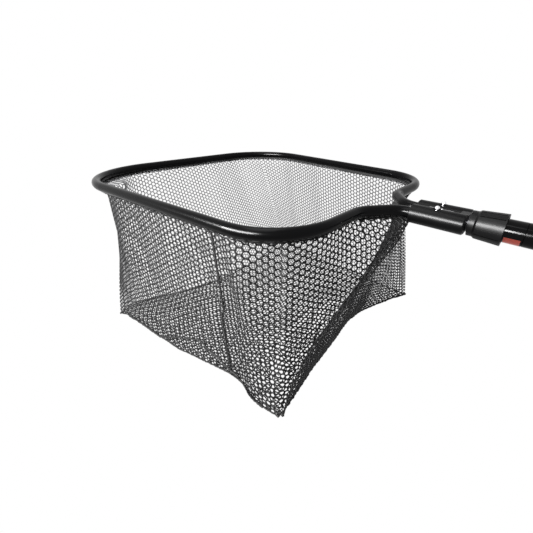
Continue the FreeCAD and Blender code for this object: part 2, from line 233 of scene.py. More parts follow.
def smooth_line(points, count=160):
    """Soft curve through a few points."""
    points = np.array(points, float)
    along = lengths(points)
    at = np.linspace(0, along[-1], count)
    line = np.stack([np.interp(at, along, points[:, k]) for k in range(3)], axis=1)
    width = max(3, count // (len(points) * 2) | 1)
    kernel = np.hanning(width + 2)[1:-1]
    kernel /= kernel.sum()
    padded = np.concatenate([2 * line[0] - line[width // 2:0:-1], line,
                             2 * line[-1] - line[-2:-width // 2 - 1:-1]])
    return np.stack([np.convolve(padded[:, k], kernel, "valid") for k in range(3)], axis=1)


# ---------------------------------------------------------------- node trees
def add_node(tree, kind, inputs=None, **settings):
    """New node with its settings, and its inputs set or linked."""
    node = tree.nodes.new(kind)
    for name, value in settings.items():
        setattr(node, name, value)
    for name, value in (inputs or {}).items():
        if isinstance(value, bpy.types.NodeSocket):
            tree.links.new(value, node.inputs[name])
        else:
            node.inputs[name].default_value = value
    return node


def sums(tree, operation, *values):
    """Result of a Math node."""
    return add_node(tree, "ShaderNodeMath", dict(enumerate(values)), operation=operation).outputs[0]


def vectors(tree, operation, *values, output="Vector"):
    """Result of a Vector Math node, whose Scale takes the second value of a SCALE."""
    node = tree.nodes.new("ShaderNodeVectorMath")
    node.operation = operation
    for index, value in enumerate(values):
        socket = node.inputs["Scale"] if operation == "SCALE" and index == 1 else node.inputs[index]
        if isinstance(value, bpy.types.NodeSocket):
            tree.links.new(value, socket)
        else:
            socket.default_value = value
    return node.outputs[output]


def new_tree(name, sockets):
    """Geometry tree with named inputs, its group input and its group output."""
    tree = bpy.data.node_groups.new(name, "GeometryNodeTree")
    for label, kind in sockets:
        tree.interface.new_socket(label, in_out="INPUT", socket_type=kind)
    tree.interface.new_socket("Geometry", in_out="OUTPUT", socket_type="NodeSocketGeometry")
    return tree, tree.nodes.new("NodeGroupInput").outputs, tree.nodes.new("NodeGroupOutput").inputs[0]


def finish_tree(tree, geometry, material, output):
    """Ends a tree in Realize Instances and Set Material."""
    shaded = add_node(tree, "GeometryNodeSetShadeSmooth", {"Geometry": geometry, "Shade Smooth": True})
    real = add_node(tree, "GeometryNodeRealizeInstances", {"Geometry": shaded.outputs[0]})
    painted = add_node(tree, "GeometryNodeSetMaterial", {"Geometry": real.outputs[0], "Material": material})
    tree.links.new(painted.outputs[0], output)


def made_by(tree, name, values, base=None):
    """Plain mesh object that a tree makes with the given input values."""
    mesh = base or bpy.data.meshes.new(name + "_base")
    carrier = bpy.data.objects.new(name + "_carrier", mesh)
    bpy.context.scene.collection.objects.link(carrier)
    modifier = carrier.modifiers.new("nodes", "NODES")
    modifier.node_group = tree
    for item in tree.interface.items_tree:
        if item.in_out == "INPUT" and item.name in values:
            modifier[item.identifier] = values[item.name]
    graph = bpy.context.evaluated_depsgraph_get()
    graph.update()
    result = bpy.data.meshes.new_from_object(carrier.evaluated_get(graph))
    result.name = name
    bpy.data.objects.remove(carrier)
    piece = bpy.data.objects.new(name, result)
    bpy.context.scene.collection.objects.link(piece)
    return piece


def net_lattice_tree():
    """Hexagonal net with rounded holes, laid over a surface's UV map."""
    tree, given, output = new_tree("net_lattice", [
        ("Geometry", "NodeSocketGeometry"), ("Surface", "NodeSocketObject"), ("Width", "NodeSocketFloat"),
        ("Height", "NodeSocketFloat"), ("Pitch", "NodeSocketFloat"), ("Strand", "NodeSocketFloat"),
        ("Thickness", "NodeSocketFloat"), ("Painted Light", "NodeSocketFloat"), ("Ring Points", "NodeSocketInt"),
        ("Material", "NodeSocketMaterial")])
    width, height, pitch = given["Width"], given["Height"], given["Pitch"]
    ideal = sums(tree, "MULTIPLY", pitch, math.sqrt(3) / 2)
    columns = sums(tree, "ROUND", sums(tree, "DIVIDE", width, ideal))
    rows = sums(tree, "ROUND", sums(tree, "DIVIDE", height, pitch))
    column_step = sums(tree, "DIVIDE", width, columns)
    row_step = sums(tree, "DIVIDE", height, rows)

    # Cell: a strip between a hexagon on the strands' middle lines and the rounded hole
    half_pitch = sums(tree, "MULTIPLY", pitch, 0.5)
    corner_r = sums(tree, "DIVIDE", pitch, math.sqrt(3))
    ring = add_node(tree, "GeometryNodeMeshCircle", {"Vertices": given["Ring Points"], "Radius": 1.0})
    place = add_node(tree, "GeometryNodeInputPosition").outputs[0]
    parts = add_node(tree, "ShaderNodeSeparateXYZ", {0: place}).outputs
    turn = sums(tree, "ABSOLUTE", sums(tree, "SINE", sums(
        tree, "MULTIPLY", sums(tree, "ARCTAN2", parts[1], parts[0]), 3.0)))
    outer_r = add_node(tree, "ShaderNodeMix", {0: turn, 2: corner_r, 3: half_pitch}).outputs[0]
    hexagon = add_node(tree, "GeometryNodeSetPosition", {
        "Geometry": ring.outputs[0], "Position": vectors(tree, "SCALE", place, outer_r)})
    crowned = add_node(tree, "GeometryNodeStoreNamedAttribute", {
        "Geometry": hexagon.outputs[0], "Name": "crown", "Value": 1.0}, data_type="FLOAT", domain="POINT")
    strip = add_node(tree, "GeometryNodeExtrudeMesh", {
        "Mesh": crowned.outputs[0], "Offset Scale": 0.0}, mode="EDGES")
    reach = vectors(tree, "LENGTH", place, output="Value")
    hole_r = sums(tree, "SUBTRACT", half_pitch, sums(tree, "MULTIPLY", given["Strand"], 0.5))
    squareness = 0.42
    swell = sums(tree, "MULTIPLY_ADD", sums(tree, "SUBTRACT", sums(tree, "DIVIDE", reach, half_pitch), 1.0),
                 squareness, 1.0)
    rim_r = sums(tree, "MULTIPLY", hole_r, swell)
    hole_place = vectors(tree, "SCALE", vectors(tree, "NORMALIZE", place), rim_r)
    cell = add_node(tree, "GeometryNodeSetPosition", {
        "Geometry": strip.outputs["Mesh"], "Selection": strip.outputs["Top"], "Position": hole_place})
    cell = add_node(tree, "GeometryNodeStoreNamedAttribute", {
        "Geometry": cell.outputs[0], "Selection": strip.outputs["Top"], "Name": "crown", "Value": 0.0},
        data_type="FLOAT", domain="POINT")

    # Field of cells, every second column half a pitch lower
    grid = add_node(tree, "GeometryNodeMeshGrid", {
        "Size X": sums(tree, "SUBTRACT", width, column_step), "Size Y": height,
        "Vertices X": columns, "Vertices Y": sums(tree, "ADD", rows, 1.0)})
    half_width = sums(tree, "MULTIPLY", width, 0.5)
    from_left = sums(tree, "ADD", parts[0], half_width)
    column = sums(tree, "ROUND", sums(tree, "SUBTRACT", sums(tree, "DIVIDE", from_left, column_step), 0.5))
    odd = sums(tree, "MODULO", column, 2.0)
    drop = sums(tree, "MULTIPLY", odd, sums(tree, "MULTIPLY", row_step, 0.5))
    shift = add_node(tree, "ShaderNodeCombineXYZ", {
        0: half_width, 1: sums(tree, "MULTIPLY_ADD", height, 0.5, drop)})
    spots = add_node(tree, "GeometryNodeSetPosition", {
        "Geometry": grid.outputs[0], "Offset": shift.outputs[0]})
    size = add_node(tree, "ShaderNodeCombineXYZ", {
        0: sums(tree, "DIVIDE", column_step, ideal), 1: sums(tree, "DIVIDE", row_step, pitch), 2: 1.0})
    cells = add_node(tree, "GeometryNodeInstanceOnPoints", {
        "Points": spots.outputs[0], "Instance": cell.outputs[0], "Scale": size.outputs[0]})
    real = add_node(tree, "GeometryNodeRealizeInstances", {"Geometry": cells.outputs[0]})
    flat = add_node(tree, "GeometryNodeMergeByDistance", {"Geometry": real.outputs[0], "Distance": 2e-5})

    # Trimmed to the panel, then given two faces and closed edges
    past_height = sums(tree, "MAXIMUM", sums(tree, "LESS_THAN", parts[1], 0.0),
                       sums(tree, "GREATER_THAN", parts[1], height))
    past_width = sums(tree, "MAXIMUM", sums(tree, "LESS_THAN", parts[0], 0.0),
                      sums(tree, "GREATER_THAN", parts[0], width))
    outside = sums(tree, "MAXIMUM", past_height, past_width)
    trimmed = add_node(tree, "GeometryNodeDeleteGeometry", {
        "Geometry": flat.outputs[0], "Selection": outside}, domain="FACE")
    flipped = add_node(tree, "GeometryNodeFlipFaces", {"Mesh": trimmed.outputs[0]})
    raised = add_node(tree, "GeometryNodeExtrudeMesh", {
        "Mesh": trimmed.outputs[0], "Offset": (0.0, 0.0, 1.0), "Offset Scale": 1.0, "Individual": False},
        mode="FACES")
    both = tree.nodes.new("GeometryNodeJoinGeometry")
    tree.links.new(flipped.outputs[0], both.inputs[0])
    tree.links.new(raised.outputs[0], both.inputs[0])
    slab = add_node(tree, "GeometryNodeMergeByDistance", {"Geometry": both.outputs[0], "Distance": 1e-6})

    # Carried to the surface
    edge = 1e-5
    inset = []
    for value, span in ((parts[0], width), (parts[1], height)):
        last = sums(tree, "SUBTRACT", span, edge)
        inset.append(sums(tree, "MINIMUM", sums(tree, "MAXIMUM", value, edge), last))
    on_panel = add_node(tree, "ShaderNodeCombineXYZ", {0: inset[0], 1: inset[1]})
    surface = add_node(tree, "GeometryNodeObjectInfo", {"Object": given["Surface"]}).outputs["Geometry"]
    uv_map = add_node(tree, "GeometryNodeInputNamedAttribute", {"Name": "cut"},
                      data_type="FLOAT_VECTOR").outputs[0]
    found = []
    for field in ("GeometryNodeInputPosition", "GeometryNodeInputNormal"):
        sample = tree.nodes.new("GeometryNodeSampleUVSurface")
        sample.data_type = "FLOAT_VECTOR"
        tree.links.new(surface, sample.inputs["Mesh"])
        tree.links.new(add_node(tree, field).outputs[0], sample.inputs["Value"])
        tree.links.new(uv_map, sample.inputs["UV Map"])
        tree.links.new(on_panel.outputs[0], sample.inputs["Sample UV"])
        found.append(sample.outputs["Value"])
    crown = add_node(tree, "GeometryNodeInputNamedAttribute", {"Name": "crown"}, data_type="FLOAT").outputs[0]
    thickness = sums(tree, "MULTIPLY", given["Thickness"], sums(
        tree, "MULTIPLY_ADD", crown, 1.0 - RIM_THINNING, RIM_THINNING))
    lift = sums(tree, "MULTIPLY", sums(tree, "ADD", parts[2], 0.5), thickness)
    final = vectors(tree, "ADD", found[0], vectors(tree, "SCALE", vectors(tree, "NORMALIZE", found[1]), lift))
    # Painted light: share of the pale inner-face colour that stands in for the black net's sheen
    inner = add_node(tree, "GeometryNodeStoreNamedAttribute", {
        "Geometry": slab.outputs[0], "Name": "inner", "Value": sums(
            tree, "MULTIPLY", sums(tree, "ADD", parts[2], 1.0), given["Painted Light"])},
        data_type="FLOAT", domain="POINT")
    laid = add_node(tree, "GeometryNodeSetPosition", {"Geometry": inner.outputs[0], "Position": final})
    finish_tree(tree, laid.outputs[0], given["Material"], output)
    return tree


def bound_seam_tree():
    """Lumpy bound edge that follows a line."""
    tree, given, output = new_tree("bound_seam", [
        ("Geometry", "NodeSocketGeometry"), ("Radius", "NodeSocketFloat"), ("Lumps", "NodeSocketFloat"),
        ("Seed", "NodeSocketInt"), ("Material", "NodeSocketMaterial")])
    line = add_node(tree, "GeometryNodeMeshToCurve", {"Mesh": given["Geometry"]})
    even = add_node(tree, "GeometryNodeResampleCurve", {
        "Curve": line.outputs[0], "Length": 0.0016}, mode="LENGTH")
    place = add_node(tree, "GeometryNodeInputPosition").outputs[0]
    lumps = add_node(tree, "ShaderNodeTexNoise", {
        "Vector": place, "W": sums(tree, "MULTIPLY", given["Seed"], 1.7), "Scale": 260.0, "Detail": 1.0},
        noise_dimensions="4D")
    size = sums(tree, "MULTIPLY_ADD", sums(tree, "SUBTRACT", lumps.outputs[0], 0.5),
                sums(tree, "MULTIPLY", given["Lumps"], 2.4), 1.0)
    profile = add_node(tree, "GeometryNodeCurvePrimitiveCircle", {"Resolution": 7, "Radius": 1.0})
    waver = vectors(tree, "SCALE", vectors(tree, "SUBTRACT", lumps.outputs[1], (0.5, 0.5, 0.5)),
                    sums(tree, "MULTIPLY", given["Radius"], sums(tree, "MULTIPLY", given["Lumps"], 2.0)))
    bent = add_node(tree, "GeometryNodeSetPosition", {"Geometry": even.outputs[0], "Offset": waver})
    tube = add_node(tree, "GeometryNodeCurveToMesh", {
        "Curve": bent.outputs[0], "Profile Curve": profile.outputs[0], "Fill Caps": True,
        "Scale": sums(tree, "MULTIPLY", given["Radius"], size)})
    finish_tree(tree, tube.outputs[0], given["Material"], output)
    return tree


# ---------------------------------------------------------------- shape of the bag
def rim_line():
    """The hoop's centre line from the near leg round to the far leg, in millimetres."""
    near = HOOP_CORNERS
    far = [(x, -y, r) for x, y, r in reversed(near)]
    return rounded_line(near + far, 2.0)


def rim_sections():
    """The rim cut at its four rounded corners: near, leading, far and handle side."""
    line = rim_line()
    back, front = (np.array(corner[:2]) for corner in HOOP_CORNERS[-2:])
    across = np.array([1.0, -1.0])
    cuts = [int(np.argmin(np.linalg.norm(line - corner, axis=1)))
            for corner in (back, front, front * across, back * across)]
    gap = spread_along(np.array([line[-1], line[0]]), 2.0)
    handle = np.concatenate([line[cuts[3]:], gap[1:-1], line[:cuts[0] + 1]])
    return {"near": line[cuts[0]:cuts[1] + 1], "leading": line[cuts[1]:cuts[2] + 1],
            "far": line[cuts[2]:cuts[3] + 1], "handle": handle}


def outward_of(line):
    """Level unit vectors that point out of the bag along part of its rim."""
    along = np.gradient(line[:, :2], axis=0)
    along /= np.linalg.norm(along, axis=1)[:, None]
    out = np.stack([-along[:, 1], along[:, 0]], axis=1)
    bag_middle = np.array([-880.0, 0.0])
    if np.mean(((line[:, :2] - bag_middle) * out).sum(1)) < 0:
        out = -out
    return np.concatenate([out, np.zeros((len(out), 1))], axis=1)


def gathers(u, v, seed, amount):
    """Small uneven folds that start at the hem and fade on the way down, in millimetres."""
    total = np.zeros_like(u)
    for octave, (across, size) in enumerate([(9.0, 2.6), (17.0, 1.5), (31.0, 0.8)]):
        for i in range(u.shape[0]):
            for j in range(u.shape[1]):
                spot = Vector((u[i, j] * across + seed, v[i, j] * 1.3 + octave * 7, seed * 0.37))
                total[i, j] += size * noise.noise(spot)
    rise = 1 - np.exp(-v / 0.03)
    fade = 0.35 + 0.65 * np.exp(-v / 0.30)
    return total * rise * fade * amount


def crease(u, v, start, end, height, width):
    """Fold that runs from one (u, v) place to another, in millimetres."""
    a, b = np.array(start), np.array(end)
    d = b - a
    spots = np.stack([u, v], axis=-1) - a
    share = np.clip((spots @ d) / (d @ d), 0, 1)
    off = spots - share[..., None] * d
    distance = np.linalg.norm(off, axis=-1)
    taper = np.sin(np.pi * np.clip(share * 0.86 + 0.14, 0, 1)) ** 0.6
    return height * np.exp(-(distance / width) ** 2) * taper


def eased_at_sides(u):
    """Share that falls to nothing at a wall's two upright sides, where it meets its neighbours."""
    return np.minimum(1, np.minimum(u, 1 - u) / 0.03)


def wall_points(side, rim, columns, rows, seed, amount):
    """Grid of points of one wall, from the hem down to its lower edge."""
    shares = np.linspace(0, 1, columns + 1)
    top = at_shares(np.column_stack([rim, np.full(len(rim), HEM_LEVEL)]), shares)
    low = at_shares(smooth_line(LOWER_EDGES[side]), shares)
    out = outward_of(top)
    u, v = np.meshgrid(shares, np.linspace(0, 1, rows + 1))
    points = top[None] * (1 - v[..., None]) + low[None] * v[..., None]
    tuck = np.interp(shares, TUCK_SHARES, TUCKS[side])[None]
    pull = tuck * (1 - np.exp(-v / 0.010)) * (1 - v) ** 1.6
    shift = gathers(u, v, seed, amount) - pull
    for fold in CREASES[side]:
        shift += crease(u, v, *fold)
    eased = eased_at_sides(u)
    shift = shift * eased + (1 - eased) * -pull
    points += out[None] * shift[..., None]
    return points


def band_line(v):
    """Where the handle-side wall is folded together, from the yoke to the near ear."""
    stops = [0.0, 0.06, 0.2, 0.4, 0.6, 0.8, 1.0]
    places = np.array([(-559.5, -3.0, HEM_LEVEL), (-563.0, -13.0, -22.0), (-578.0, -45.0, -62.0),
                       (-598.0, -96.0, -122.0), (-615.0, -144.0, -182.0), (-625.0, -175.0, -241.0),
                       (-632.0, -190.0, -298.0)])
    return np.array([np.interp(v, stops, places[:, k]) for k in range(3)])


def handle_wall_points(rim, columns, rows):
    """Grid of points of the handle-side wall, smooth on both sides of the band and pleated in it."""
    rim = np.column_stack([rim, np.full(len(rim), HEM_LEVEL)])
    cut = lengths(rim)[-1]
    middle = int(np.argmin(np.abs(rim[:, 1])))
    low = smooth_line(LOWER_EDGES["handle"])
    far_top, near_top = rim[:middle + 1], rim[middle:]
    shares = np.linspace(0, 1, 60)
    far_low = at_shares(low, shares)
    inward = np.array([-0.75, -0.66, 0.0])
    out = np.array([0.93, -0.36, 0.0])
    passes = 7
    widest_pass = 36.0
    turn = np.linspace(0, 1, 64)
    grid = []
    for row in range(rows + 1):
        v = row / rows
        band = band_line(v)
        lowered = 1 - math.exp(-v / 0.16)

        # Near part, which leaves the hem and then runs straight from the band to the corner
        near = at_shares(near_top, shares)
        corner = near[-1] * (1 - v) + low[-1] * v
        straight = band + (corner - band) * shares[:, None]
        hung = near + (corner - near[-1]) * shares[:, None] + (band - near[0]) * (1 - shares[:, None])
        near = hung * (1 - lowered) + straight * lowered
        bulge = 10.0 * math.sin(math.pi * min(1, v * 1.15)) * np.sin(np.pi * shares)
        near[:, 0] += bulge * 0.4
        near[:, 1] -= bulge * 0.5

        # Far part, which sags towards the lower edge and is drawn in at the far corner
        far = at_shares(far_top, shares) * (1 - v) + far_low * v
        straight = far[0] + (band - far[0]) * shares[:, None]
        sag = far + (band - far[-1]) * shares[:, None] ** 3
        far = sag * (1 - lowered) + (0.75 * straight + 0.25 * sag) * lowered
        low_share = max(0.0, (v - 0.5) / 0.5) ** 1.5
        far = far * (1 - low_share) + sag * low_share
        pull = 16.0 * (1 - math.exp(-v / 0.05)) * (1 - v) ** 0.6
        far += inward * (pull * np.exp(-(shares / 0.35) ** 2))[:, None]

        # Band, whose pleats take up the length that is left
        spare = max(0.0, cut - lengths(far)[-1] - lengths(near)[-1])
        wide = min(widest_pass, spare / passes)
        wobble = 1 + 0.25 * noise.noise(Vector((v * 9.0, 3.1, 0.0)))
        across = -wide * wobble * 0.5 * np.cos(np.pi * passes * turn)
        direction = corner - far[0]
        direction /= np.linalg.norm(direction)
        depth = (turn - 0.5) * min(1.0, wide / 6.0) * 9.0
        pleat = band + direction[None] * across[:, None] + out[None] * (depth[:, None] + 5.0 * min(1, v * 8))
        line = np.concatenate([far[:-2], pleat, near[2:]])
        grid.append(at_shares(line, np.linspace(0, 1, columns + 1)))
    grid = np.array(grid)
    u, v = np.meshgrid(np.linspace(0, 1, columns + 1), np.linspace(0, 1, rows + 1))
    grid[..., 0] += gathers(u, v, 21.7, 0.8) * eased_at_sides(u)
    return grid


def floor_points(near, leading, far, handle, count, depth):
    """Floor between four edges that sags and turns up where it meets the walls."""
    shares = np.linspace(0, 1, count + 1)
    s, t = np.meshgrid(shares, shares)
    low, high = at_shares(near, shares), at_shares(far[::-1], shares)
    left, right = at_shares(handle[::-1], shares), at_shares(leading, shares)
    points = (low[None] * (1 - t[..., None]) + high[None] * t[..., None]
              + left[:, None] * (1 - s[..., None]) + right[:, None] * s[..., None]
              - (low[0] * ((1 - s) * (1 - t))[..., None] + low[-1] * (s * (1 - t))[..., None]
                 + high[0] * ((1 - s) * t)[..., None] + high[-1] * (s * t)[..., None]))
    floor_span = 440.0
    nearest = np.minimum(np.minimum(s, 1 - s), np.minimum(t, 1 - t)) * floor_span
    points[..., 2] -= depth * (1 - np.exp(-nearest / 45.0))
    for i in range(count + 1):
        for j in range(count + 1):
            rise = noise.noise(Vector((s[i, j] * 4.0, t[i, j] * 4.0, 5.0))) * 7.0
            points[i, j, 2] += rise * min(1, nearest[i, j] / 40.0)
    return points


def surface_object(name, grid):
    """Panel's middle surface, with its flat cut in metres as the UV map 'cut'."""
    rows, columns = grid.shape[0] - 1, grid.shape[1] - 1
    width = float(np.mean([lengths(row)[-1] for row in grid])) * MM
    height = float(np.mean([lengths(grid[:, k])[-1] for k in range(grid.shape[1])])) * MM
    faces = []
    for i in range(rows):
        for j in range(columns):
            a = i * (columns + 1) + j
            faces.append((a, a + columns + 1, a + columns + 2, a + 1))
    piece = plain_mesh(name, grid.reshape(-1, 3) * MM, faces)
    cut = piece.data.uv_layers.new(name="cut")
    for loop in piece.data.loops:
        i, j = divmod(loop.vertex_index, columns + 1)
        cut.data[loop.index].uv = (width * j / columns, height * (1 - i / rows))
    return piece, width, height, sum(face.area for face in piece.data.polygons)


def bag_surfaces():
    """Grids of the four walls and the floor, in millimetres."""
    rim = rim_sections()
    rows = 50
    walls = {
        "near": wall_points("near", rim["near"], 80, rows, 3.3, 0.55),
        "leading": wall_points("leading", rim["leading"], 76, rows, 9.1, 0.7),
        "far": wall_points("far", rim["far"], 80, rows, 14.9, 0.7),
        "handle": handle_wall_points(rim["handle"], 200, rows),
    }
    walls["handle"][:, 0] = walls["far"][:, -1]
    walls["handle"][:, -1] = walls["near"][:, 0]
    walls["leading"][:, 0] = walls["near"][:, -1]
    walls["far"][:, 0] = walls["leading"][:, -1]
    near, leading, far, handle = (walls[side][-1] for side in ("near", "leading", "far", "handle"))
    floor = floor_points(near, leading, far, handle, 56, 7.0)
    return walls, floor[:, ::-1]


def seam_lines():
    """Line and relative thickness of each seam, fold and corner knot."""
    walls, _ = bag_surfaces()
    near = walls["near"]
    upright = np.array([row[int(np.argmin(np.abs(row[:, 0] - UPRIGHT_SEAM_X)))] for row in near])
    flat = near.reshape(-1, 3)
    reach = [-x for x, z in ARCH_SEAM]
    levels = [z for x, z in ARCH_SEAM]
    arch = []
    for x in np.linspace(ARCH_SEAM[0][0], ARCH_SEAM[-1][0], 75):
        level = np.interp(-x, reach, levels)
        nearest = int(np.argmin((flat[:, 0] - x) ** 2 + (flat[:, 2] - level) ** 2))
        arch.append(flat[nearest] + np.array([0.0, -1.5, 0.0]))
    lines = {
        "upright_seam": (upright, 1.0),
        "near_seam": (smooth_line(arch), 1.1),
        "near_fold": (near[-1], 0.9),
        "leading_seam": (walls["leading"][-1], 1.2),
        "far_seam": (walls["far"][-1], 0.9),
        "handle_seam": (walls["handle"][-1], 1.3),
        "inner_fold": (smooth_line(INNER_FOLD), 0.7),
    }
    for index, ear in enumerate([NEAR_EAR, LEADING_EAR, FAR_LEADING_EAR, FAR_EAR]):
        lines["ear_knot_" + str(index)] = (knot_line(ear, 3.1 + index * 5.7), 0.9)
    return lines


def thick_strip(name, grid, sideways, thickness, material):
    """Closed strip, given its middle grid and a sideways direction for each column."""
    rows, columns = grid.shape[:2]
    shift = sideways[None] * thickness / 2
    points = np.concatenate([(grid + shift).reshape(-1, 3), (grid - shift).reshape(-1, 3)]) * MM
    back = rows * columns
    faces = []
    for i in range(rows - 1):
        for j in range(columns - 1):
            a = i * columns + j
            quad = (a, a + 1, a + columns + 1, a + columns)
            faces += [quad, tuple(back + corner for corner in reversed(quad))]
    border = ([j for j in range(columns)] + [i * columns + columns - 1 for i in range(1, rows)]
              + [(rows - 1) * columns + j for j in range(columns - 2, -1, -1)]
              + [i * columns for i in range(rows - 2, 0, -1)])
    for a, b in zip(border, border[1:] + border[:1]):
        faces.append((b, a, back + a, back + b))
    piece = plain_mesh(name, points, faces, material)
    face_outwards(piece)
    return piece


def hem_grid(pitch):
    """Band under the hoop's tube with a scalloped lower edge, and its sideways directions."""
    line = rim_line()
    line = spread_along(line[line[:, 0] <= HOOP_CORNERS[0][0]], pitch / 6)
    out = outward_of(line)
    along = lengths(line)
    scallop = 2.2 * np.abs(np.sin(np.pi * along / pitch))
    ripple = 0.7 * np.sin(along / 17.0) + 0.5 * np.sin(along / 7.3)
    rows = []
    for level, lean, share in ((-7.0, 2.0, 0.0), (HEM_LEVEL, 2.8, 0.0), (-11.4, 3.6, 0.4), (-15.4, 4.6, 1.0)):
        points = np.column_stack([line, np.full(len(line), level) + scallop * share])
        rows.append(points + out * (ripple * share - lean)[:, None])
    return np.array(rows), out, along[-1]


def knot_line(centre, seed):
    """Short tangle around a corner of the bag."""
    reach = 4.2
    spots = [np.array(centre) + reach * np.array(noise.noise_vector(Vector((seed + k * 1.9, k * 2.3, 0.5))))
             for k in range(14)]
    return smooth_line(spots, 60)


# ---------------------------------------------------------------- finishes
def grain_group():
    """Fine uneven grain as a height, and a soft mottling as a mask, both over Object coordinates."""
    if "fine_grain" in bpy.data.node_groups:
        return bpy.data.node_groups["fine_grain"]
    group = bpy.data.node_groups.new("fine_grain", "ShaderNodeTree")
    group.interface.new_socket("Size", in_out="INPUT", socket_type="NodeSocketFloat")
    group.interface.new_socket("Height", in_out="OUTPUT", socket_type="NodeSocketFloat")
    group.interface.new_socket("Mottle", in_out="OUTPUT", socket_type="NodeSocketFloat")
    given, out = group.nodes.new("NodeGroupInput"), group.nodes.new("NodeGroupOutput")
    place = group.nodes.new("ShaderNodeTexCoord")
    fine = add_node(group, "ShaderNodeTexNoise", {
        "Vector": place.outputs["Object"], "Scale": given.outputs["Size"], "Detail": 3.0})
    broad = add_node(group, "ShaderNodeTexNoise", {
        "Vector": place.outputs["Object"], "Scale": 34.0, "Detail": 4.0})
    group.links.new(fine.outputs[0], out.inputs["Height"])
    group.links.new(broad.outputs[0], out.inputs["Mottle"])
    return group


def finish(name, colour, roughness, metallic=0.0, grain=0.0, grain_size=900.0, mottle=0.06, specular=0.5):
    """Principled finish with grain in its Bump and a slight mottling in its roughness."""
    material = bpy.data.materials.new(name)
    material.use_nodes = True
    tree = material.node_tree
    shader = tree.nodes["Principled BSDF"]
    shader.inputs["Base Color"].default_value = (*colour, 1.0)
    shader.inputs["Metallic"].default_value = metallic
    shader.inputs["Specular IOR Level"].default_value = specular
    texture = add_node(tree, "ShaderNodeGroup", node_tree=grain_group())
    texture.inputs["Size"].default_value = grain_size
    spread = add_node(tree, "ShaderNodeMapRange", {
        "Value": texture.outputs["Mottle"], "From Min": 0.3, "From Max": 0.7,
        "To Min": roughness - mottle / 2, "To Max": roughness + mottle / 2})
    tree.links.new(spread.outputs[0], shader.inputs["Roughness"])
    if grain:
        bump = add_node(tree, "ShaderNodeBump", {
            "Height": texture.outputs["Height"], "Strength": grain, "Distance": 0.0004})
        tree.links.new(bump.outputs[0], shader.inputs["Normal"])
    return material


def net_finish(outer, inner):
    """Coated net, black outside, with pale grey painted on the strands' inner faces as painted light for the
    net's sheen.
    """
    material = finish("net_coating", outer, 0.6, mottle=0.12, specular=0.1)
    tree = material.node_tree
    # Painted light: the stored share mixes the pale painted-light grey into the black coating
    side = add_node(tree, "ShaderNodeAttribute", attribute_name="inner")
    colour = add_node(tree, "ShaderNodeMix", {"Factor": side.outputs["Fac"]}, data_type="RGBA")
    colour.inputs["A"].default_value = (*outer, 1.0)
    colour.inputs["B"].default_value = (*inner, 1.0)
    tree.links.new(colour.outputs["Result"], tree.nodes["Principled BSDF"].inputs["Base Color"])
    return material


def finishes():
    """Every finish of the net by name, made once."""
    tones = bpy.context.scene.landing_net_finish
    made = {m.name: m for m in bpy.data.materials}
    if "net_coating" in made:
        return made
    return {m.name: m for m in [
        finish("hoop_enamel", tones.enamel, 0.22, specular=0.06, mottle=0.03),
        finish("handle_enamel", tones.enamel, 0.13, specular=0.07, mottle=0.02),
        net_finish(tones.coating, tones.inner_face),
        finish("hem_binding", tones.coating, 0.75, grain=0.6, grain_size=1400.0, specular=0.2),
        finish("yoke_moulding", tones.moulding, 0.30, grain=0.08, grain_size=1500.0, specular=0.07),
        finish("lock_moulding", tones.moulding, 0.40, grain=0.10, grain_size=1500.0, specular=0.10),
        finish("closed_cell_foam", (0.020, 0.020, 0.021), 0.85, grain=0.8, grain_size=1800.0),
        finish("cap_moulding", tones.moulding, 0.5, grain=0.15, grain_size=1500.0),
        # Painted shade: the inner tube, bare aluminium, is coloured black so the gap between the yoke and the
        # lock collar reads dark
        finish("black_anodising", (0.03, 0.03, 0.032), 0.35, metallic=1.0),
        finish("spring_steel", (0.55, 0.55, 0.56), 0.30, metallic=1.0),
        finish("button_chrome", (0.80, 0.80, 0.82), 0.10, metallic=1.0, mottle=0.02),
        finish("index_red", (0.60, 0.055, 0.02), 0.30, mottle=0.04),
        finish("collet_nylon", (0.30, 0.30, 0.31), 0.5),
        finish("wiper_rubber", (0.02, 0.02, 0.02), 0.7),
    ]}


NODE_FINISHES = {
    "hoop_tube": "hoop_enamel", "hem_bead": "hem_binding", "hem_band": "hem_binding",
    "yoke_body": "yoke_moulding", "yoke_pins": "spring_steel", "valley_strip": "spring_steel",
    "near_snap_button": "button_chrome", "far_snap_button": "button_chrome",
    "near_button_spring": "spring_steel", "far_button_spring": "spring_steel",
    "inner_tube": "black_anodising", "inner_bush": "cap_moulding", "inner_plug": "cap_moulding",
    "lock_collar": "lock_moulding", "wiper_seal": "wiper_rubber", "lock_sleeve": "handle_enamel",
    "lock_mark": "index_red", "collet": "collet_nylon", "outer_tube": "handle_enamel",
    "grip": "closed_cell_foam", "grip_ring": "cap_moulding", "butt_cap": "cap_moulding",
}


# ---------------------------------------------------------------- stage
def seen_directly(tree):
    """One for camera, glossy and transmission rays, and nothing for the rays that light the net."""
    path = tree.nodes.new("ShaderNodeLightPath").outputs
    return sums(tree, "MAXIMUM", path["Is Camera Ray"], sums(
        tree, "MAXIMUM", path["Is Glossy Ray"], path["Is Transmission Ray"]))


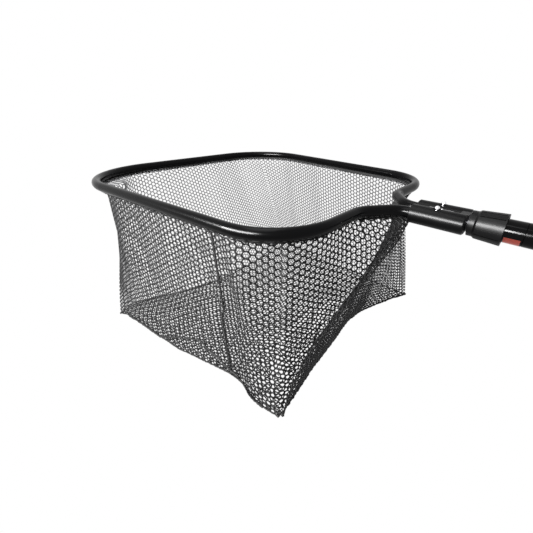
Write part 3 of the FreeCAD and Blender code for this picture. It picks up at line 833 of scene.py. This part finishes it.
def white_floor(half_width, level):
    """White ground under the net, which glows only where it is seen directly."""
    white = bpy.data.materials.new("stage_white")
    white.use_nodes = True
    tree = white.node_tree
    shader = tree.nodes["Principled BSDF"]
    shader.inputs["Base Color"].default_value = (0.85, 0.85, 0.85, 1)
    shader.inputs["Roughness"].default_value = 1.0
    shader.inputs["Specular IOR Level"].default_value = 0.0
    glow = add_node(tree, "ShaderNodeEmission", {"Color": (1, 1, 1, 1), "Strength": 1.0})
    mixed = add_node(tree, "ShaderNodeMixShader", {
        0: seen_directly(tree), 1: shader.outputs[0], 2: glow.outputs[0]})
    tree.links.new(mixed.outputs[0], tree.nodes["Material Output"].inputs[0])
    corners = [(x * half_width, y * half_width, level) for x, y in ((-1, -1), (1, -1), (1, 1), (-1, 1))]
    return plain_mesh("stage_floor", corners, [(0, 1, 2, 3)], white, smooth=False)


def white_world(sky):
    """White surroundings that light the net evenly with the given strength."""
    world = bpy.data.worlds.new("studio")
    world.use_nodes = True
    tree = world.node_tree
    back = tree.nodes["Background"]
    back.inputs["Color"].default_value = (1, 1, 1, 1)
    strength = add_node(tree, "ShaderNodeMix", {0: seen_directly(tree), 2: sky, 3: 1.0})
    tree.links.new(strength.outputs[0], back.inputs["Strength"])
    return world


def softbox(name, place, aim, size, power):
    """Rectangular lamp at a place, turned towards its aim."""
    data = bpy.data.lights.new(name, "AREA")
    data.shape = "RECTANGLE"
    data.size, data.size_y = size
    data.energy = power
    lamp = bpy.data.objects.new(name, data)
    bpy.context.scene.collection.objects.link(lamp)
    lamp.location = place
    lamp.rotation_euler = (Vector(aim) - Vector(place)).to_track_quat("-Z", "Y").to_euler()
    return lamp


def aimed_camera(place, pitch, yaw, roll, lens):
    """Camera that looks along +Y, turned right by the yaw and down by the pitch."""
    data = bpy.data.cameras.new("camera")
    camera = bpy.data.objects.new("camera", data)
    bpy.context.scene.collection.objects.link(camera)
    forward = Vector((math.sin(yaw) * math.cos(pitch), math.cos(yaw) * math.cos(pitch), -math.sin(pitch)))
    right = Vector((math.cos(yaw), -math.sin(yaw), 0.0))
    up = right.cross(forward)
    side = right * math.cos(roll) + up * math.sin(roll)
    up = up * math.cos(roll) - right * math.sin(roll)
    camera.matrix_world = Matrix.Translation(place) @ Matrix((side, up, -forward)).transposed().to_4x4()
    data.sensor_width = 36.0
    data.lens = lens
    data.shift_x, data.shift_y = -0.0545, -0.0357
    data.clip_start, data.clip_end = 0.02, 50.0
    return camera


# ---------------------------------------------------------------- operators
class LANDINGNET_OT_finishes(bpy.types.Operator):
    """Gives each of the net's rigid solids its finish"""
    bl_idname = "landing_net.finishes"
    bl_label = "Finish the Solids"

    def execute(self, context):
        made = finishes()
        for node, name in NODE_FINISHES.items():
            mesh = NODES[node].data
            mesh.materials.clear()
            mesh.materials.append(made[name])
        return {"FINISHED"}


class LANDINGNET_OT_bag(bpy.types.Operator):
    """Hangs the net's walls and floor from the hoop"""
    bl_idname = "landing_net.bag"
    bl_label = "Hang the Bag"

    def execute(self, context):
        settings = context.scene.landing_net_bag
        material = finishes()["net_coating"]
        tree = net_lattice_tree()
        walls, floor = bag_surfaces()
        panels = {"near": "bag_near_wall", "leading": "bag_leading_wall", "far": "bag_far_wall",
                  "handle": "bag_handle_wall", "floor": "bag_floor"}
        for side, grid in [*walls.items(), ("floor", floor)]:
            surface, width, height, area = surface_object(side + "_surface", grid)
            panel = made_by(tree, side + "_net", {
                "Surface": surface, "Width": width, "Height": height, "Pitch": settings.pitch,
                "Strand": settings.strand, "Thickness": settings.thickness,
                # Painted light on every panel but the handle wall, whose pleats stay black
                "Painted Light": 0.0 if side == "handle" else 1.0, "Ring Points": 6 if side == "floor" else 12,
                "Material": material})
            bpy.data.objects.remove(surface)
            face_outwards(panel)
            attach(panel, "head")
            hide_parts(panels[side])
        return {"FINISHED"}


class LANDINGNET_OT_hem(bpy.types.Operator):
    """Sews the scalloped hem under the hoop's tube"""
    bl_idname = "landing_net.hem"
    bl_label = "Sew the Hem"

    def execute(self, context):
        pitch = context.scene.landing_net_bag.pitch / MM
        grid, out, length = hem_grid(pitch)
        hem = thick_strip("scalloped_hem", grid, out, 1.0, finishes()["hem_binding"])
        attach(hem, "head")
        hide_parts("hem_band")
        return {"FINISHED"}


class LANDINGNET_OT_seams(bpy.types.Operator):
    """Binds the bag's seams, folds and lower corners"""
    bl_idname = "landing_net.seams"
    bl_label = "Bind the Seams"

    def execute(self, context):
        settings = context.scene.landing_net_bag
        noise.seed_set(settings.seed)
        tree = bound_seam_tree()
        for name, (line, scale) in seam_lines().items():
            line = spread_along(line, 2.0) * MM
            base = bpy.data.meshes.new(name + "_line")
            base.from_pydata([tuple(p) for p in line], [(i, i + 1) for i in range(len(line) - 1)], [])
            seam = made_by(tree, name, {
                "Radius": settings.seam_radius * scale, "Lumps": 0.55, "Seed": settings.seed,
                "Material": finishes()["hem_binding"]}, base)
            face_outwards(seam)
            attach(seam, "head")
        return {"FINISHED"}


class LANDINGNET_OT_stage(bpy.types.Operator):
    """Sets the floor, the softboxes and the camera"""
    bl_idname = "landing_net.stage"
    bl_label = "Set the Stage"

    def execute(self, context):
        settings = context.scene.landing_net_stage
        scene = context.scene
        floor = white_floor(6, -0.9)
        scene.world = white_world(settings.sky)
        softbox("key_softbox", (-1.1, -0.2, 1.6), (-0.8, 0.0, 0.0), (1.6, 0.7), settings.key_power)
        strip = softbox("strip_softbox", (-0.86, -0.95, 0.36), (-0.62, -0.12, 0.0), (0.85, 0.26),
                        settings.strip_power)
        strip.visible_diffuse = False
        eye = (-0.43585, -0.37663, 0.12137)
        pitch, yaw, roll = 0.46059, -0.73385, 0.00584
        scene.camera = aimed_camera(eye, pitch, yaw, roll, settings.lens)
        scene.view_settings.view_transform = "Standard"
        return {"FINISHED"}


class LANDINGNET_PT_panel(bpy.types.Panel):
    """Lists the net's settings and its building steps"""
    bl_idname = "LANDINGNET_PT_panel"
    bl_label = "Landing Net"
    bl_space_type = "VIEW_3D"
    bl_region_type = "UI"
    bl_category = "Landing Net"

    def draw(self, context):
        layout = self.layout
        for group in (context.scene.landing_net_bag, context.scene.landing_net_finish,
                      context.scene.landing_net_stage):
            column = layout.column(align=True)
            for name in group.__annotations__:
                column.prop(group, name)
        for operator in OPERATORS:
            layout.operator(operator.bl_idname)


OPERATORS = [
    LANDINGNET_OT_finishes,
    LANDINGNET_OT_hem,
    LANDINGNET_OT_bag,
    LANDINGNET_OT_seams,
    LANDINGNET_OT_stage,
]
SETTINGS = [LandingNetBagSettings, LandingNetFinishSettings, LandingNetStageSettings]


def register():
    for cls in [*SETTINGS, *OPERATORS, LANDINGNET_PT_panel]:
        bpy.utils.register_class(cls)
    bpy.types.Scene.landing_net_bag = PointerProperty(type=LandingNetBagSettings)
    bpy.types.Scene.landing_net_finish = PointerProperty(type=LandingNetFinishSettings)
    bpy.types.Scene.landing_net_stage = PointerProperty(type=LandingNetStageSettings)


def unregister():
    del bpy.types.Scene.landing_net_bag
    del bpy.types.Scene.landing_net_finish
    del bpy.types.Scene.landing_net_stage
    for cls in reversed([*SETTINGS, *OPERATORS, LANDINGNET_PT_panel]):
        bpy.utils.unregister_class(cls)


def main():
    register()
    bpy.ops.landing_net.finishes()
    bpy.ops.landing_net.hem()
    bpy.ops.landing_net.bag()
    bpy.ops.landing_net.seams()
    bpy.ops.landing_net.stage()


if __name__ == "__main__":
    main()
